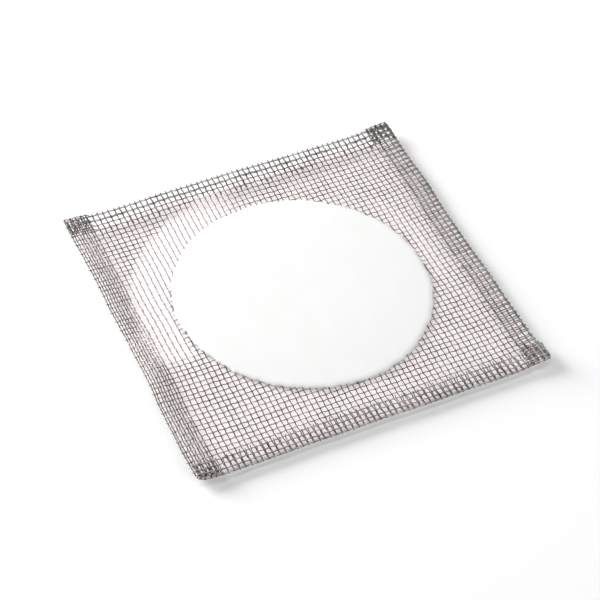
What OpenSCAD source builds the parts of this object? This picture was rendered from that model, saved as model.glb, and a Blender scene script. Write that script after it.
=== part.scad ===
// Laboratory wire gauze: a square of woven wire cloth, hemmed on all four sides,
// with a round ceramic centre pressed through the mesh.
// The origin is on the bench, under the middle of the ceramic.

/* [Wire cloth] */
// Side of the square, over the hems
side = 125; // [115:1:150]
// Diameter of the wire
wire_d = 0.4; // [0.35:0.05:0.45]
// Cells between the left and right folds
cells_x = 63; // [52:1:66]
// Cells between the front and back folds
cells_y = 57; // [50:1:60]
// Thickness of the web that closes the mesh between the wires
web_t = 0.2; // [0.15:0.05:0.25]
// Cells across a true opening
open_span = 4; // [2:1:4]
// Cells from one true opening to the next
open_every = 5; // [5:1:8]
// Web left between an opening and the wires round it
open_ledge = 0.05; // [0.03:0.01:0.1]

/* [Hems] */
// Cells that a hem takes up
hem_cells = 4; // [3:1:5]
// Height that each folded layer adds
layer_step = 0.7; // [0.65:0.05:0.8]
// Layers that lie on each other at a corner
corner_layers = 4; // [3:1:4]

/* [Curl] */
// Height that the left and right edges curl up
side_rise = 1; // [0:0.1:2]
// Height that the back edge curls up
back_rise = 1.7; // [0:0.1:2]
// Height that the front edge curls up
front_rise = 1; // [0:0.1:2]
// Cloth that stays flat past the ceramic's edge
flat_margin = 0.7; // [0.5:0.1:3]

/* [Ceramic centre] */
// Diameter of the ceramic
disc_d = 88.6; // [70:0.1:92]
// Thickness over both faces
disc_t = 2.2; // [2:0.1:4]
// Width of the soft slope round its rim
edge_w = 5; // [1:0.5:8]
// Ceramic over the wires at the rim
edge_t = 0.15; // [0.1:0.05:0.2]
// Clearance round a ceramic key in its opening
key_gap = 0.03; // [0.02:0.01:0.08]

/* [Hidden] */
half = side / 2;
cloth_z = disc_t / 2;
flat_half = disc_d / 2 + flat_margin;
// A fold is a roll round both of its layers
fold_r = layer_step / 2 + wire_d;
fold_fn = 8;
fold_line = half - fold_r;
pitch_x = 2 * fold_line / cells_x;
pitch_y = 2 * fold_line / cells_y;
// Walls end just inside the rolls
wall_end = fold_line - wire_d / 4;
hem_x = fold_line - hem_cells * pitch_x;
hem_y = fold_line - hem_cells * pitch_y;
hem_z = layer_step;
corner_z = (corner_layers - 1) * layer_step;
corner_line = half - fold_r / 2;
// Walls that are one piece run this far into each other
bond = 0.02;
slice = wire_d / 2;
// Points of the walls fall on a fine grid, so that their bent faces stay flat
grid = 0.001;
curl_steps = 2;
round_steps = 5;
// Height of the rim above the middle of the cloth, and what the slope falls by
rim_h = wire_d + edge_t;
edge_drop = disc_t / 2 - rim_h;
opening_x = open_span * pitch_x - wire_d - 2 * open_ledge;
opening_y = open_span * pitch_y - wire_d - 2 * open_ledge;

function snap(u) = grid * round(u / grid);

// Height that an edge curls up by, at a distance from the middle line
function curl(u, rise) =
    snap(rise * pow(max(0, u - flat_half) / (half - flat_half), 2));
curl_x = function (x) curl(abs(x), side_rise);
curl_y = function (y) y > 0 ? curl(y, back_rise) : curl(-y, front_rise);

// Places where the curl bends the walls, between two ends
function reversed(list) = [for (i = [len(list) - 1:-1:0]) list[i]];
side_bends = [for (i = [0:curl_steps - 1])
    flat_half + (half - flat_half) * i / curl_steps];
bends = concat(reversed(-side_bends), side_bends);
function stations(ends) =
    concat(
        [ends[0]],
        [for (b = bends) if (b > ends[0] + bond && b < ends[1] - bond) b],
        [ends[1]]
    );

function wire_place(k, cells, pitch) = (k - cells / 2) * pitch;

// First cells of the true openings: a plain grid that stays between the hems
function open_cells(cells) =
    let (room = cells - 2 * hem_cells - open_span)
    let (count = floor(room / open_every) + 1)
    let (first = hem_cells + floor((room - (count - 1) * open_every) / 2))
    [for (i = [0:count - 1]) first + i * open_every];

// Wires that run whole between the openings, and every wire of a layer
function whole_wires(cells) =
    [for (k = [0:cells])
        if (len([for (f = open_cells(cells)) if (k > f && k < f + open_span) f]) == 0) k];
function all_wires(cells) = [for (k = [0:cells]) k];

// A wire's section above the web: up one side, over the top and down the other
function wire_ridge(c, web, top) =
    [[c - wire_d / 2, web], [c - wire_d / 4, top], [c + wire_d / 4, top], [c + wire_d / 2, web]];

// Ribbed side of a section across the wires, between two ends, before the curl
function ribbed_line(wires, cells, pitch, ends, web, top) =
    concat(
        [[ends[0], web]],
        [for (k = wires) let (c = wire_place(k, cells, pitch))
            if (c - wire_d / 2 > ends[0] && c + wire_d / 2 < ends[1])
                each wire_ridge(c, web, top)],
        [[ends[1], web]]
    );

// Closed section of a wall from its plain side, base, to its ribbed side, web
function ribbed_section(wires, cells, pitch, ends, base, web, top) =
    let (plain = [for (u = stations(ends)) [u, base]])
    let (ribbed = ribbed_line(wires, cells, pitch, ends, web, top))
    web > base
        ? concat(ribbed, reversed(plain))
        : concat(plain, reversed(ribbed));

// A section in X and Z swept along Y, both ways following the curl
module sweep(section, places, lift_across, lift_along) {
    n = len(section);
    points = [for (v = places) for (p = section)
        [snap(p[0]), snap(v), snap(p[1]) + lift_across(p[0]) + lift_along(v)]];
    front = [for (i = [0:n - 1]) i];
    back = [for (i = [n - 1:-1:0]) (len(places) - 1) * n + i];
    sides = [for (j = [0:len(places) - 2]) for (i = [0:n - 1])
        [j * n + i, (j + 1) * n + i, (j + 1) * n + (i + 1) % n, j * n + (i + 1) % n]];
    polyhedron(points, concat([front, back], sides));
}

// Warp wires run along Y, and weft wires along X
module warp_wall(wires, x_ends, y_ends, base, web, top)
    sweep(
        ribbed_section(wires, cells_x, pitch_x, x_ends, base, web, top),
        stations(y_ends), curl_x, curl_y
    );

module weft_wall(wires, x_ends, y_ends, base, web, top)
    mirror([1, -1, 0])
        sweep(
            ribbed_section(wires, cells_y, pitch_y, y_ends, base, web, top),
            stations(x_ends), curl_y, curl_x
        );

// One layer inside the folds: weft ridges below, warp ridges above between the hems
module field() {
    weft_wall(whole_wires(cells_y), [-wall_end, wall_end], [-wall_end, wall_end],
        bond, -web_t / 2, -wire_d);
    warp_wall(whole_wires(cells_x), [-hem_x - bond, hem_x + bond],
        [-hem_y - bond, hem_y + bond], -bond, web_t / 2, wire_d);
}

// A folded layer shows the cloth's other face, with its weft ridges up
module hem(x_ends, y_ends, z)
    weft_wall(all_wires(cells_y), x_ends, y_ends, 0, z + web_t / 2, z + wire_d);

module hems() {
    for (x_ends = [[-wall_end, -hem_x], [hem_x, wall_end]])
        hem(x_ends, [-wall_end, wall_end], hem_z);
    for (y_ends = [[-wall_end, -hem_y], [hem_y, wall_end]])
        hem([-wall_end, wall_end], y_ends, hem_z);
}

module corner_pads()
    for (x_ends = [[-corner_line, -hem_x], [hem_x, corner_line]])
        for (y_ends = [[-corner_line, -hem_y], [hem_y, corner_line]])
            hem(x_ends, y_ends, corner_z);

// Rolls along the four folds, in straight pieces between the bends of the curl
module fold_slice(x, y, turn)
    translate([x, y, layer_step / 2 + curl_x(x) + curl_y(y)])
        rotate(turn)
            cylinder(h = slice, r = fold_r, center = true, $fn = fold_fn);

module folds() {
    places = stations([-fold_line, fold_line]);
    for (line = [-fold_line, fold_line])
        for (i = [1:len(places) - 1]) {
            hull()
                for (y = [places[i - 1], places[i]])
                    fold_slice(line, y, [90, 0, 0]);
            hull()
                for (x = [places[i - 1], places[i]])
                    fold_slice(x, line, [0, 90, 0]);
        }
}

module corner_posts()
    for (x = [-fold_line, fold_line])
        for (y = [-fold_line, fold_line])
            translate([x, y, curl_x(x) + curl_y(y) - wire_d])
                rotate(180 / fold_fn)
                    cylinder(h = corner_z + 2 * wire_d, r = fold_r, $fn = fold_fn);

opening_places = [for (i = open_cells(cells_x)) for (j = open_cells(cells_y)) [
    wire_place(i + open_span / 2, cells_x, pitch_x),
    wire_place(j + open_span / 2, cells_y, pitch_y)
]];

module openings()
    for (p = opening_places)
        translate([p[0], p[1], curl_x(p[0]) + curl_y(p[1])])
            cube([opening_x, opening_y, 6 * wire_d], center = true);

module wire_cloth()
    color([0.62, 0.60, 0.59])
        translate([0, 0, cloth_z])
            difference() {
                union() {
                    field();
                    hems();
                    corner_pads();
                    folds();
                    corner_posts();
                }
                openings();
            }

// Soft slope round a face, from the flat of the face out to the rim
function soft_edge(way) =
    [for (i = [0:round_steps]) let (a = 90 * i / round_steps)
        [disc_d / 2 - edge_w * (1 - sin(a)), cloth_z + way * (rim_h + edge_drop * cos(a))]];

module ceramic_body()
    rotate_extrude($fn = 128)
        polygon(concat(
            [[0, 0]],
            soft_edge(-1),
            reversed(soft_edge(1)),
            [[0, disc_t]]
        ));

// The cloth lies between the two faces
module cloth_slot()
    translate([0, 0, cloth_z])
        cube([side, side, 2 * wire_d], center = true);

// Keys join the faces through the openings that lie wholly under the ceramic
module keys() {
    reach = disc_d / 2 - wire_d - norm([opening_x, opening_y]) / 2;
    size = [opening_x - 2 * key_gap, opening_y - 2 * key_gap, 2 * wire_d + 2 * bond];
    for (p = opening_places)
        if (norm(p) < reach)
            translate([p[0], p[1], cloth_z])
                cube(size, center = true);
}

module ceramic_disc()
    color([0.99, 0.99, 0.98]) {
        difference() {
            ceramic_body();
            cloth_slot();
        }
        keys();
    }

wire_cloth();
ceramic_disc();
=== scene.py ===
# Laboratory wire gauze: a square of woven steel wire cloth, hemmed on all four sides,
# with a round pad of fired ceramic set through its middle.
import math

import bpy
import numpy as np
from mathutils import Matrix, Vector


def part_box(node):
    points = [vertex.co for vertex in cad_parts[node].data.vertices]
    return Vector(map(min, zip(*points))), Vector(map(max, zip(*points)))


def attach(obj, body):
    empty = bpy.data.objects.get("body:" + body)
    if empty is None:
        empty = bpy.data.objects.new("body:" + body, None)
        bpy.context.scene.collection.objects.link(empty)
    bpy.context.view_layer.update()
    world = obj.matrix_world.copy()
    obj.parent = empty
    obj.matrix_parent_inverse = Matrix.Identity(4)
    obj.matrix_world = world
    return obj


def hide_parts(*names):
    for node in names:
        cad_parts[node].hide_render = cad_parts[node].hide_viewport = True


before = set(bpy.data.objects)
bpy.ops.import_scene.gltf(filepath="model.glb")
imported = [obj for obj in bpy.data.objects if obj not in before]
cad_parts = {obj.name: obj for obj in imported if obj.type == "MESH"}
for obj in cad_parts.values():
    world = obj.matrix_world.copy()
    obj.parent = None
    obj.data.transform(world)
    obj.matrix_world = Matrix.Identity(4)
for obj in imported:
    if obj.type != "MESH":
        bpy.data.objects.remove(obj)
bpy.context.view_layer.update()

# The warp. Drawn steel wires that run front to back and take nearly all the crimp of the
# plain weave. The cloth is cut larger than the square, and a strip of it along each side,
# warp and weft together, is folded over the top face and pressed down as a hem.
MM = 0.001
cloth_low, cloth_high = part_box("wire_cloth")
disc_low, disc_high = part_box("ceramic_disc")
half = cloth_high[0]
cloth_z = (disc_low[2] + disc_high[2]) / 2
wire_r = (cloth_z - cloth_low[2]) / 2
wire_sides = 8
rings_per_wave = 8
smooth_angle = math.radians(65)

# Cells between the folds in X and in Y, and what follows from them for each axis
cells = (63, 57)
hem_cells = 4
end_cells = 0.5
layer_step = 0.7 * MM
bend_r = layer_step / 2
corner_bend_r = 2.2 * bend_r
fold_line = half - bend_r - 2 * wire_r
pitch = [2 * fold_line / count for count in cells]
blank = [fold_line + (hem_cells + end_cells) * step for step in pitch]
wire_count = [count + 1 + 2 * hem_cells for count in cells]
first_wire = [-fold_line - hem_cells * step for step in pitch]
hem_x = 2 * fold_line - blank[0] + math.pi * bend_r

# Errors of the wires, drawn for more wires than there are: their places, their sway and
# how their cut ends stray, lift and differ in length
errors_drawn = 100
place_error = 0.07 * MM
sway_size = (0.02 * MM, 0.1 * MM)
sway_length = (11 * MM, 34 * MM)
stray_cells = 1.5
end_stray = 0.24 * MM
end_lift = 0.12 * MM
cut_error = (-0.6 * MM, 0.4 * MM)

# Each pair of hems, low side first: spare length in the roll, and how the strip lies
# askew and shifted along its fold
roll_w = 1.6 * MM
side_slack = (0.1 * MM, 0.5 * MM)
side_skew = (0.02, -0.05)
side_shift = (-0.28 * pitch[1], -0.5 * pitch[1])
end_slack = (1.65 * MM, 0.45 * MM)
end_skew = (0.07, 0.01)
end_shift = (-0.26 * MM, -0.26 * MM)

# How soon past a fold the hems' wire tone is painted lighter, a painted highlight (painted shade
# where a share is below nought), and where the corners' doubled layers are, which get less of it
# and are folded with a wider bend
painted_light_w = 1.5 * MM
corner_w = 3 * MM
corner_painted_light = 0.2
doubled_from = 2 * MM
doubled_w = 2.5 * MM

# How the finished square lies: slow and quick waves, a bow in the front edge, corners
# pressed in and rounded (left then right, each front then back), and the edges' curl
slow_wave = 0.2 * MM
quick_wave = 0.08 * MM
side_waves = (11.3 * MM, 3.4, 3.7 * MM, 0)
end_waves = (13.2 * MM, 2, 4.3 * MM, 1)
front_bow = 0.6 * MM
corner_narrow = 0.25 * MM
corner_back = (0.4 * MM, 0.1 * MM)
corner_round = np.array(((3.4, 1.4), (1.4, 2.4))) * MM
flat_half = disc_high[0] + 0.7 * MM
side_rise = 1 * MM
front_rise = 1 * MM
back_rise = 1.7 * MM

# Bulges in the edges and corners: place, width, and pull in X and in Y
bulges = np.array((
    (-62, 60, 15, -0.9, -0.3),
    (-62, -36, 18, -0.8, 0),
    (-62, -62, 13, -0.3, -0.9),
    (62, -62, 13, 0.7, -0.5),
    (62, 30, 18, 0.7, 0),
)) * MM

# Steel in its dull and bright patches, as shares of a wire's tone, and the pale zone on the wires
# beside the pad: a thin film of the wet ceramic and painted glare
dull_steel = np.array((0.6, 0.54, 0.53))
bright_steel = np.array((1.4, 1.29, 1.27))
pad_r = disc_high[0] - 0.6 * MM
pad_x = 1 * MM
pad_y = 0.3 * MM
slip_glare_colour = (0.82, 0.76, 0.78, 1)
slip_glare_x = -3 * MM
slip_glare_y = 2 * MM
slip_glare_r = 54.4 * MM
slip_glare_ragged = 0.08
slip_glare_end = (1.01, 1.06)
slip_glare_front = (10 * MM, 15 * MM)
slip_glare_left = (-16 * MM, 4 * MM)
slip_glare_right = (-48 * MM, -36 * MM)
slip_glare_right_share = 0.5
slip_glare_clear = (pad_r + 0.6 * MM, pad_r + 2 * MM)


def deselect():
    if bpy.context.object and bpy.context.object.mode != "OBJECT":
        bpy.ops.object.mode_set(mode="OBJECT")
    for thing in bpy.context.selected_objects:
        thing.select_set(False)


def pick(thing):
    deselect()
    thing.select_set(True)
    bpy.context.view_layer.objects.active = thing


def on_axis(axis, size):
    vector = [0, 0, 0]
    vector[axis] = size
    return vector


def repeat(wire, count, step, joined):
    """Repeats a wire along or across the cloth, and closes the joints along it."""
    pick(wire)
    row = wire.modifiers.new("row", "ARRAY")
    row.count = count
    row.use_relative_offset = False
    row.use_constant_offset = True
    row.constant_offset_displace = step
    row.use_merge_vertices = joined
    row.merge_threshold = wire_r / 20
    bpy.ops.object.modifier_apply(modifier=row.name)


def face_outwards():
    bpy.ops.mesh.select_all(action="SELECT")
    bpy.ops.mesh.normals_make_consistent(inside=False)
    bpy.ops.object.mode_set(mode="OBJECT")


def crimped_wire(name, along, start, crimp, bends):
    """One whole wire of the blank, lying straight along X (0) or Y (1)."""
    deselect()
    turn = ((0, math.pi / 2, 0), (math.pi / 2, 0, 0))[along]
    bpy.ops.mesh.primitive_circle_add(
        vertices=wire_sides, radius=wire_r, location=start, rotation=turn
    )
    wire = bpy.context.object
    wire.name = name
    bpy.ops.object.transform_apply()
    bpy.ops.object.mode_set(mode="EDIT")
    wave = 2 * pitch[along]
    heights = [crimp * math.sin(2 * math.pi * ring / rings_per_wave) for ring in range(rings_per_wave + 1)]
    for low, high in zip(heights, heights[1:]):
        step = on_axis(along, wave / rings_per_wave)
        step[2] = high - low
        bpy.ops.mesh.extrude_region_move(TRANSFORM_OT_translate={"value": step})
    bpy.ops.object.mode_set(mode="OBJECT")
    repeat(wire, wire_count[along] // 2, on_axis(along, wave), True)
    bpy.ops.object.mode_set(mode="EDIT")
    for bend in bends:
        for side in (-1, 1):
            bpy.ops.mesh.select_all(action="SELECT")
            bpy.ops.mesh.bisect(
                plane_co=on_axis(along, side * bend),
                plane_no=on_axis(along, 1),
                threshold=wire_r / 100,
            )
    bpy.ops.mesh.select_all(action="SELECT")
    bpy.ops.mesh.fill_holes(sides=wire_sides)
    face_outwards()
    bpy.ops.object.shade_smooth_by_angle(angle=smooth_angle)
    return wire


def row_of_wires(name, along, first, count, crimp, bends):
    """A row of wires of the blank. Every second one bends the other way, so two sets make it."""
    across = 1 - along
    start = on_axis(across, first_wire[across] + first * pitch[across])
    start[along] = -blank[along]
    wire = crimped_wire(name, along, start, crimp, bends)
    repeat(wire, count // 2, on_axis(across, 2 * pitch[across]), False)
    other = wire.copy()
    other.data = wire.data.copy()
    bpy.context.scene.collection.objects.link(other)
    pick(other)
    other.scale[2] = -1
    other.location[across] = pitch[across]
    bpy.ops.object.transform_apply()
    bpy.ops.object.mode_set(mode="EDIT")
    face_outwards()
    wire.select_set(True)
    bpy.context.view_layer.objects.active = wire
    bpy.ops.object.join()
    return wire


def smooth_step(value):
    value = np.clip(value, 0, 1)
    return value * value * (3 - 2 * value)


def by_side(place, values):
    """The first value on the low side of the middle line, and the second on the high side."""
    return np.where(place < 0, *values)


def loosen(run, height, index, along, seed, rough_cut):
    """Each wire's own errors: its place and sway, and ends that stray, lift and differ in length."""
    errors = np.random.default_rng(seed)
    shift = errors.normal(0, place_error, errors_drawn)[index]
    sway = errors.uniform(*sway_size, errors_drawn)[index]
    length = errors.uniform(*sway_length, errors_drawn)[index]
    phase = errors.uniform(0, 2 * math.pi, errors_drawn)[index]
    aside = shift + sway * np.sin(2 * math.pi * run / length + phase)
    for side, rough in zip((-1, 1), rough_cut):
        stray = rough * errors.normal(0, end_stray, errors_drawn)[index]
        longer = rough * errors.uniform(*cut_error, errors_drawn)[index]
        lift = rough * errors.normal(0, end_lift, errors_drawn)[index]
        past_end = (side * run - blank[along]) / pitch[along]
        last = np.clip(1 + past_end / stray_cells, 0, 1)
        tip = np.clip(1 + past_end / end_cells, 0, 1)
        aside = aside + stray * last ** 2
        height = height + lift * last ** 2
        run = run + side * longer * tip
    return run, aside, height


def fold(run, off, height, line, radius, slack):
    """Bends what lies past a fold line up and back over the sheet."""
    side = np.sign(run)
    past = np.abs(run) - line
    arc = math.pi * radius + slack
    turn = math.pi * np.clip(past / arc, 0, 1)
    flat = np.minimum(past, 0) - np.maximum(past - arc, 0)
    out = line + flat + (radius - height) * np.sin(turn) + side * off * np.cos(turn)
    up = radius - (radius - height) * np.cos(turn) + side * off * np.sin(turn)
    return side * out, up


def slide(run, line, skew, shift):
    """How far a strip slides along its own fold as it is pressed down."""
    past = np.abs(run) - line
    return by_side(run, skew) * np.maximum(past, 0) + by_side(run, shift) * smooth_step(past / roll_w)


def fold_hems(runs, offs, height, side_painted_light, end_painted_light):
    """Folds the side hems in, then the front and back hems over them with a wider bend."""
    x, z = fold(runs[0], offs[0], height, fold_line, bend_r, by_side(runs[0], side_slack))
    y_run = runs[1] + slide(runs[0], fold_line, side_skew, side_shift)
    doubled = smooth_step((np.abs(x) - hem_x + doubled_from) / doubled_w)
    bend = bend_r + (corner_bend_r - bend_r) * doubled
    line = half - bend - 2 * wire_r
    y, z = fold(y_run, offs[1], z, line, bend, by_side(y_run, end_slack))
    on_side = smooth_step((np.abs(runs[0]) - fold_line) / painted_light_w)
    on_end = smooth_step((np.abs(y_run) - line) / painted_light_w)
    corner = smooth_step((np.abs(x) - hem_x) / corner_w) * on_end
    x = x + slide(y_run, line, end_skew, end_shift)
    # Painted highlight on the hem wires, and painted shade where a share is below nought
    side_bright = by_side(runs[0], side_painted_light) * on_side
    end_bright = by_side(y_run, end_painted_light) * on_end
    painted_hem_light = np.where(np.abs(side_bright) > np.abs(end_bright), side_bright, end_bright)
    return x, y, z, corner, painted_hem_light * (1 - corner) + corner_painted_light * corner


def waver(place, slow_length, slow_turn, quick_length, quick_turn):
    """A slow and a quick wave along an edge, each with its length and its start."""
    slow = slow_wave * np.sin(place / slow_length + slow_turn)
    return slow + quick_wave * np.sin(place / quick_length + quick_turn)


def settle(x, y, corner):
    """The square as it lies: waved, bowed, pressed in and rounded at its corners, and bulged."""
    x = x + waver(y, *side_waves)
    y = y + waver(x, *end_waves)
    y = y - front_bow * smooth_step(-y / half) * (1 - (x / half) ** 2)
    x = x - np.sign(x) * corner_narrow * corner
    y = y + by_side(y, corner_back) * corner
    round_r = corner_round[(x > 0).astype(int), (y > 0).astype(int)]
    in_x = np.maximum(np.abs(x) - half + round_r, 0)
    in_y = np.maximum(np.abs(y) - half + round_r, 0)
    cut = 1 - np.maximum(in_x, in_y) / np.maximum(np.hypot(in_x, in_y), 1e-6 * MM)
    x = x - np.sign(x) * in_x * cut
    y = y - np.sign(y) * in_y * cut
    for at_x, at_y, width, pull_x, pull_y in bulges:
        near = np.exp(-(((x - at_x) ** 2 + (y - at_y) ** 2) / width ** 2))
        x = x + pull_x * near
        y = y + pull_y * near
    return x, y


def rise(place, most):
    return most * (np.maximum(np.abs(place) - flat_half, 0) / (half - flat_half)) ** 2


def lay_cloth(wires, along, seed, rough_cut, side_painted_light, end_painted_light):
    """Gives each wire of a row its own small errors, folds the hems and curls the sheet."""
    mesh = wires.data
    across = 1 - along
    spots = np.empty(3 * len(mesh.vertices))
    mesh.vertices.foreach_get("co", spots)
    spots = spots.reshape(-1, 3).T
    cell = np.rint(spots[across] / pitch[across] + cells[across] / 2)
    centre = (cell - cells[across] / 2) * pitch[across]
    index = cell.astype(int) + hem_cells
    run, aside, height = loosen(spots[along], spots[2], index, along, seed, rough_cut)
    runs = [run, run]
    runs[across] = centre + aside
    offs = [0, 0]
    offs[across] = spots[across] - centre
    x, y, z, corner, painted_hem_light = fold_hems(runs, offs, height, side_painted_light, end_painted_light)
    x, y = settle(x, y, corner)
    z = z + cloth_z + rise(x, side_rise) + rise(y, by_side(y, (front_rise, back_rise)))
    mesh.vertices.foreach_set("co", np.stack((x, y, z), axis=1).ravel())
    # Each point keeps its share of painted hem light: lighter above nought, darker below
    amounts = mesh.attributes.new("painted_hem_light", "FLOAT", "POINT")
    amounts.data.foreach_set("value", painted_hem_light.astype(np.float32))
    mesh.update()


def new_finish(name):
    finish = bpy.data.materials.new(name)
    finish.use_nodes = True
    return finish, finish.node_tree, finish.node_tree.nodes["Principled BSDF"]


def number(tree, kind, first, second=0.0):
    """A maths node on two values, each a socket or a plain number."""
    node = tree.nodes.new("ShaderNodeMath")
    node.operation = kind
    for place, value in enumerate((first, second)):
        if isinstance(value, (int, float)):
            node.inputs[place].default_value = value
        else:
            tree.links.new(value, node.inputs[place])
    return node.outputs[0]


def fade(tree, value, low, high):
    """One below the low value, nothing above the high one, and smooth between."""
    node = tree.nodes.new("ShaderNodeMapRange")
    node.interpolation_type = "SMOOTHSTEP"
    node.inputs["From Min"].default_value = low
    node.inputs["From Max"].default_value = high
    node.inputs["To Min"].default_value = 1
    node.inputs["To Max"].default_value = 0
    tree.links.new(value, node.inputs["Value"])
    return node.outputs["Result"]


def noise(tree, where, scale, detail):
    node = tree.nodes.new("ShaderNodeTexNoise")
    node.inputs["Scale"].default_value = scale
    node.inputs["Detail"].default_value = detail
    tree.links.new(where.outputs["Object"], node.inputs["Vector"])
    return node.outputs["Fac"]


def two_tones(tree, value, low, low_colour, high, high_colour):
    ramp = tree.nodes.new("ShaderNodeValToRGB")
    stops = ramp.color_ramp.elements
    stops[0].position = low
    stops[0].color = (*low_colour, 1)
    stops[1].position = high
    stops[1].color = (*high_colour, 1)
    tree.links.new(value, ramp.inputs["Fac"])
    return ramp.outputs["Color"]


def roughen(tree, shader, grain, strength, depth):
    """Fine bumps in a surface."""
    bump = tree.nodes.new("ShaderNodeBump")
    bump.inputs["Strength"].default_value = strength
    bump.inputs["Distance"].default_value = depth
    tree.links.new(grain, bump.inputs["Height"])
    tree.links.new(bump.outputs["Normal"], shader.inputs["Normal"])


def distance_to(tree, x, y, at_x, at_y):
    off_x = number(tree, "SUBTRACT", x, at_x)
    off_y = number(tree, "SUBTRACT", y, at_y)
    square_x = number(tree, "MULTIPLY", off_x, off_x)
    square_y = number(tree, "MULTIPLY", off_y, off_y)
    return number(tree, "SQRT", number(tree, "ADD", square_x, square_y))


def slip_and_glare(tree, where):
    """Where the wires are paled by a thin ceramic film and painted glare: most at the pad's left, less at
    its right.
    """
    apart = tree.nodes.new("ShaderNodeSeparateXYZ")
    tree.links.new(where.outputs["Object"], apart.inputs[0])
    x, y = apart.outputs[0], apart.outputs[1]
    far = number(tree, "DIVIDE", distance_to(tree, x, y, slip_glare_x, slip_glare_y), slip_glare_r)
    ragged = number(tree, "MULTIPLY", noise(tree, where, 220, 4), slip_glare_ragged)
    near = fade(tree, number(tree, "ADD", far, ragged), *slip_glare_end)
    behind = fade(tree, number(tree, "MULTIPLY", y, -1), *slip_glare_front)
    at_left = fade(tree, x, *slip_glare_left)
    at_right = fade(tree, number(tree, "MULTIPLY", x, -1), *slip_glare_right)
    beside = number(tree, "MAXIMUM", at_left, number(tree, "MULTIPLY", at_right, slip_glare_right_share))
    pad_edge = distance_to(tree, x, y, pad_x, pad_y)
    clear = number(tree, "SUBTRACT", 1, fade(tree, pad_edge, *slip_glare_clear))
    reach = number(tree, "MULTIPLY", near, clear)
    return number(tree, "MULTIPLY", number(tree, "MULTIPLY", reach, behind), beside)


def wire_finish(name, tone, slip_glare_share):
    """Drawn steel that has been fired with the ceramic: dull, brown-grey and uneven, with painted light on
    the hems and painted glare beside the pad.
    """
    finish, tree, shader = new_finish(name)
    shader.inputs["Metallic"].default_value = 1
    where = tree.nodes.new("ShaderNodeTexCoord")
    patches = noise(tree, where, 160, 5)
    steel = two_tones(tree, patches, 0.35, dull_steel * tone, 0.68, bright_steel * tone)
    # The hems' tone is painted lighter by the attribute's share, a painted highlight, and darker where it
    # is below nought, a painted shade
    amount = tree.nodes.new("ShaderNodeAttribute")
    amount.attribute_name = "painted_hem_light"
    painted_hem_light = tree.nodes.new("ShaderNodeHueSaturation")
    tree.links.new(steel, painted_hem_light.inputs["Color"])
    tree.links.new(number(tree, "ADD", amount.outputs["Fac"], 1), painted_hem_light.inputs["Value"])
    # The pale zone mixed over the steel: a thin ceramic film and painted glare
    with_slip_glare = tree.nodes.new("ShaderNodeMix")
    with_slip_glare.data_type = "RGBA"
    with_slip_glare.inputs["B"].default_value = slip_glare_colour
    tree.links.new(number(tree, "MULTIPLY", slip_and_glare(tree, where), slip_glare_share), with_slip_glare.inputs["Factor"])
    tree.links.new(painted_hem_light.outputs["Color"], with_slip_glare.inputs["A"])
    tree.links.new(with_slip_glare.outputs["Result"], shader.inputs["Base Color"])
    grain = noise(tree, where, 4200, 3)
    rough = tree.nodes.new("ShaderNodeMapRange")
    rough.inputs["To Min"].default_value = 0.24
    rough.inputs["To Max"].default_value = 0.46
    tree.links.new(grain, rough.inputs["Value"])
    tree.links.new(rough.outputs["Result"], shader.inputs["Roughness"])
    roughen(tree, shader, grain, 0.25, 0.02 * MM)
    return finish


# The warp's own values: its crimp, the cuts that let it bend in the front and back folds, and
# how much lighter its tone is painted in the side hems and in the front and back ones, a painted
# highlight. Its front ends are cut rough.
warp_crimp = 1.2 * wire_r
warp_finish = wire_finish("drawn steel, warp", tone=0.055, slip_glare_share=0.14)
warp_cuts = 12
warp_cut_step = 0.3 * MM
warp_bends = [half - corner_bend_r - 2 * wire_r + warp_cut_step * step for step in range(warp_cuts)]
warp_seed = 5
warp_rough = (1.25, 1)
warp_side_painted_light = (0.1, 1.2)
warp_end_painted_light = (1.2, 0.1)
left_count = wire_count[0] // 2

for name, first, count in (
    ("warp_wires_left", 0, left_count),
    ("warp_wires_right", left_count, wire_count[0] - left_count),
):
    warp = row_of_wires(name, 1, first, count, warp_crimp, warp_bends)
    lay_cloth(warp, 1, warp_seed, warp_rough, warp_side_painted_light, warp_end_painted_light)
    warp.data.materials.append(warp_finish)
    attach(warp, "root")
    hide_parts("wire_cloth")

# The weft. The same drawn steel wire, woven through the warp from left to right. It stays
# almost straight, is painted brighter than the warp as a painted highlight of the lamps along it,
# and takes more of the pale zone: a thin ceramic film and painted glare.
weft_crimp = -(2 * wire_r - warp_crimp)
# The weft's tone, over four times the warp's, is a painted highlight on the same steel
weft_finish = wire_finish("drawn steel, weft", tone=0.25, slip_glare_share=0.9)
weft_cuts = 6
weft_bends = [fold_line + math.pi * bend_r * step / weft_cuts for step in range(weft_cuts + 1)]
weft_seed = 9
weft_rough = (1, 1)
# Painted hem light of the weft: its left hem painted lighter, its right hem painted darker, a painted
# shade
weft_side_painted_light = (1, -0.3)
weft_end_painted_light = (0.2, 0.1)
front_count = wire_count[1] // 2 - 1

for name, first, count in (
    ("weft_wires_front", 0, front_count),
    ("weft_wires_back", front_count, wire_count[1] - front_count),
):
    weft = row_of_wires(name, 0, first, count, weft_crimp, weft_bends)
    lay_cloth(weft, 0, weft_seed, weft_rough, weft_side_painted_light, weft_end_painted_light)
    weft.data.materials.append(weft_finish)
    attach(weft, "root")
    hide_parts("wire_cloth")

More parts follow.
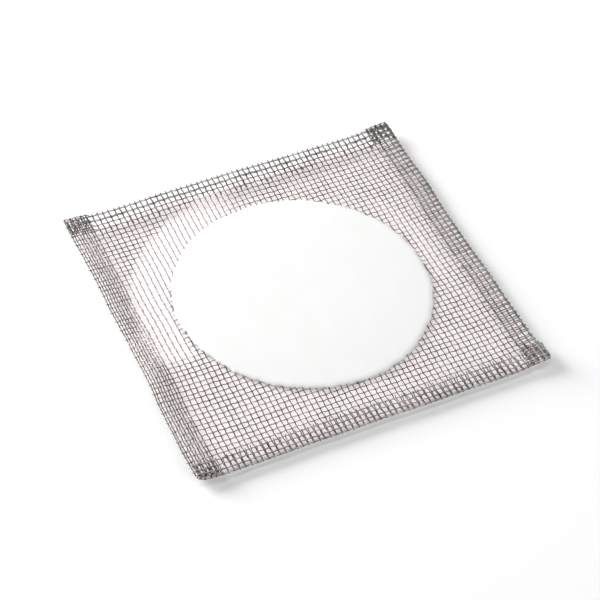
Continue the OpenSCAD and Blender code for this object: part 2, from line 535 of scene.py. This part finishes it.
# The pad. White ceramic paste pressed into both faces of the cloth and fired: a flat round
# pad, a little domed, that thins at its rim to a feather edge among the wires.
pad_half = (disc_high[2] - disc_low[2]) / 2
pad_turns = 384
outline_steps = 8
dome_from = 0.4 * pad_r
dome_drop = 0.35 * MM
rim_w = 1.9 * MM
rim_half = 0.45 * MM
rim_power = 2.2
feather = ((0.3 * MM, 0.25 * MM), (0.6 * MM, 0))
oval = 1.2 * MM
oval_turn = math.radians(121)
ripples = ((3, 0.15), (7, 0.12), (17, 0.12), (41, 0.14), (73, 0.12), (109, 0.1))
rim_from = 0.9
dent = 0.008 * MM
dent_x = 6 * MM
dent_y = 7 * MM
chance = np.random.default_rng(41)

outline = [(0, 0, pad_half)]
for step in range(outline_steps + 1):
    part = step / outline_steps
    out = dome_from + (pad_r - rim_w - dome_from) * part
    outline.append((out, 0, pad_half - dome_drop * part ** 2))
for step in range(1, outline_steps + 1):
    part = step / outline_steps
    drop = dome_drop + (pad_half - dome_drop - rim_half) * part ** rim_power
    outline.append((pad_r - rim_w * (1 - part), 0, pad_half - drop))
outline += [(pad_r + out, 0, up) for out, up in feather]
outline += [(x, y, -z) for x, y, z in reversed(outline[:-1])]
pad_mesh = bpy.data.meshes.new("ceramic_pad")
pad_mesh.from_pydata(outline, [(k, k + 1) for k in range(len(outline) - 1)], [])
pad = bpy.data.objects.new("ceramic_pad", pad_mesh)
bpy.context.scene.collection.objects.link(pad)
pick(pad)
bpy.ops.object.mode_set(mode="EDIT")
bpy.ops.mesh.select_all(action="SELECT")
bpy.ops.mesh.spin(steps=pad_turns, angle=2 * math.pi, center=(0, 0, 0), axis=(0, 0, 1))
bpy.ops.mesh.select_all(action="SELECT")
bpy.ops.mesh.remove_doubles(threshold=0.01 * MM)
face_outwards()
bpy.ops.object.shade_smooth()

# The rim is a little oval and ragged, and both faces are faintly uneven
spots = np.empty(3 * len(pad_mesh.vertices))
pad_mesh.vertices.foreach_get("co", spots)
x, y, z = spots.reshape(-1, 3).T
angle = np.arctan2(y, x)
rim = smooth_step((np.hypot(x, y) / pad_r - rim_from) / (1 - rim_from))
wander = oval * np.cos(2 * (angle - oval_turn))
for turns, size in ripples:
    wander += size * MM * np.sin(turns * angle + chance.uniform(0, 6.28))
grow = 1 + rim * wander / pad_r
dents = dent * (1 + np.sin(x / dent_x + 1) * np.sin(y / dent_y)) * (1 - rim)
pad_spots = (x * grow + pad_x, y * grow + pad_y, cloth_z + z - dents * np.sign(z))
pad_mesh.vertices.foreach_set("co", np.stack(pad_spots, axis=1).ravel())
pad_mesh.update()

pad_finish, tree, shader = new_finish("fired ceramic")
shader.inputs["Roughness"].default_value = 0.8
shader.inputs["Subsurface Weight"].default_value = 0.8
shader.inputs["Subsurface Radius"].default_value = (1, 1, 1)
shader.inputs["Subsurface Scale"].default_value = 1.5 * MM
where = tree.nodes.new("ShaderNodeTexCoord")
clouds = noise(tree, where, 90, 6)
white = two_tones(tree, clouds, 0.3, (0.925, 0.925, 0.905), 0.7, (0.95, 0.95, 0.932))
tree.links.new(white, shader.inputs["Base Color"])
roughen(tree, shader, noise(tree, where, 2600, 4), 0.3, 0.05 * MM)
pad.data.materials.append(pad_finish)
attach(pad, "root")
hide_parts("ceramic_disc")

# The table. A white sheet that runs out of sight and keeps the soft shadow. Under the gauze
# it has a paler, faintly warm patch of painted light, which hides the gauze's shadow there and stays just
# inside the square's edges.
table_size = 6
shade_glow = (0.145, 0.145, 0.145, 1)
# Painted light under the gauze, seen only by the camera and the wires
painted_patch_light = (0.54, 0.47, 0.47, 1)
patch_middle = 0.4 * MM
patch_inset = ((1.4 * MM, 0.5 * MM), (3.2 * MM, 2 * MM))


def seen_directly(tree):
    """One for the camera and for what the wires mirror, and nothing for scattered light."""
    rays = tree.nodes.new("ShaderNodeLightPath").outputs
    mirrored = number(tree, "MAXIMUM", rays["Is Glossy Ray"], rays["Is Transmission Ray"])
    return number(tree, "MAXIMUM", rays["Is Camera Ray"], mirrored)


deselect()
bpy.ops.mesh.primitive_plane_add(size=table_size, location=(0, 0, 0))
table = bpy.context.object
table.name = "table"
paper, tree, shader = new_finish("white sheet")
shader.inputs["Base Color"].default_value = (0.9, 0.9, 0.9, 1)
shader.inputs["Roughness"].default_value = 0.9
shader.inputs["Specular IOR Level"].default_value = 0.1
where = tree.nodes.new("ShaderNodeTexCoord")
apart = tree.nodes.new("ShaderNodeSeparateXYZ")
tree.links.new(where.outputs["Object"], apart.inputs[0])
sides = []
for place, (inner, outer) in zip(apart.outputs[:2], patch_inset):
    away = number(tree, "ABSOLUTE", number(tree, "SUBTRACT", place, patch_middle))
    sides.append(fade(tree, away, half - inner, half - outer))
glow = tree.nodes.new("ShaderNodeMix")
glow.data_type = "RGBA"
glow.inputs["A"].default_value = shade_glow
glow.inputs["B"].default_value = painted_patch_light
tree.links.new(number(tree, "MULTIPLY", *sides), glow.inputs["Factor"])
tree.links.new(glow.outputs["Result"], shader.inputs["Emission Color"])
tree.links.new(seen_directly(tree), shader.inputs["Emission Strength"])
table.data.materials.append(paper)

# The room: an even white surround, which the camera and the wires see but which lights
# the gauze only faintly.
room_light = 0.08
world = bpy.data.worlds.new("studio")
bpy.context.scene.world = world
world.use_nodes = True
tree = world.node_tree
surround = tree.nodes["Background"]
surround.inputs["Color"].default_value = (1, 1, 1, 1)
level = tree.nodes.new("ShaderNodeMapRange")
level.inputs["To Min"].default_value = room_light
level.inputs["To Max"].default_value = 1
tree.links.new(seen_directly(tree), level.inputs["Value"])
tree.links.new(level.outputs["Result"], surround.inputs["Strength"])


def lamp(name, place, size, watts):
    light = bpy.data.lights.new(name, "AREA")
    light.shape = "RECTANGLE"
    light.size, light.size_y = size
    light.energy = watts
    holder = bpy.data.objects.new(name, light)
    bpy.context.scene.collection.objects.link(holder)
    holder.location = place
    holder.rotation_euler = Vector(place).to_track_quat("Z", "Y").to_euler()


# The lamps: a broad soft key low behind on the left, a strip overhead, and a weak fill in front
# on the right. They stand 0.9 m to 1.1 m away and face the gauze.
lamp("key", (-0.55, 0.72, 0.37), (0.6, 0.7), 18.1)
lamp("strip", (0.24, 0, 0.9), (0.3, 1.4), 2.3)
lamp("fill", (0.6, -0.8, 0.42), (0.9, 0.5), 5)

# The camera, at the height and distance of someone standing over the bench.
azimuth = math.radians(-23.93)
elevation = math.radians(47.15)
distance = 702.9 * MM
aim_right = -0.11 * MM
aim_up = -2.61 * MM
flat = math.cos(elevation)
back = Vector((math.sin(azimuth) * flat, -math.cos(azimuth) * flat, math.sin(elevation)))
right = Vector((math.cos(azimuth), math.sin(azimuth), 0))
up = back.cross(right)
view = bpy.data.cameras.new("camera")
view.sensor_width = 36
view.lens = 124.24
camera = bpy.data.objects.new("camera", view)
bpy.context.scene.collection.objects.link(camera)
place = back * distance + right * aim_right + up * aim_up + Vector((0, 0, cloth_z))
turned = Matrix((right, up, back)).transposed().to_4x4()
camera.matrix_world = Matrix.Translation(place) @ turned
bpy.context.scene.camera = camera
bpy.context.scene.view_settings.view_transform = "Standard"
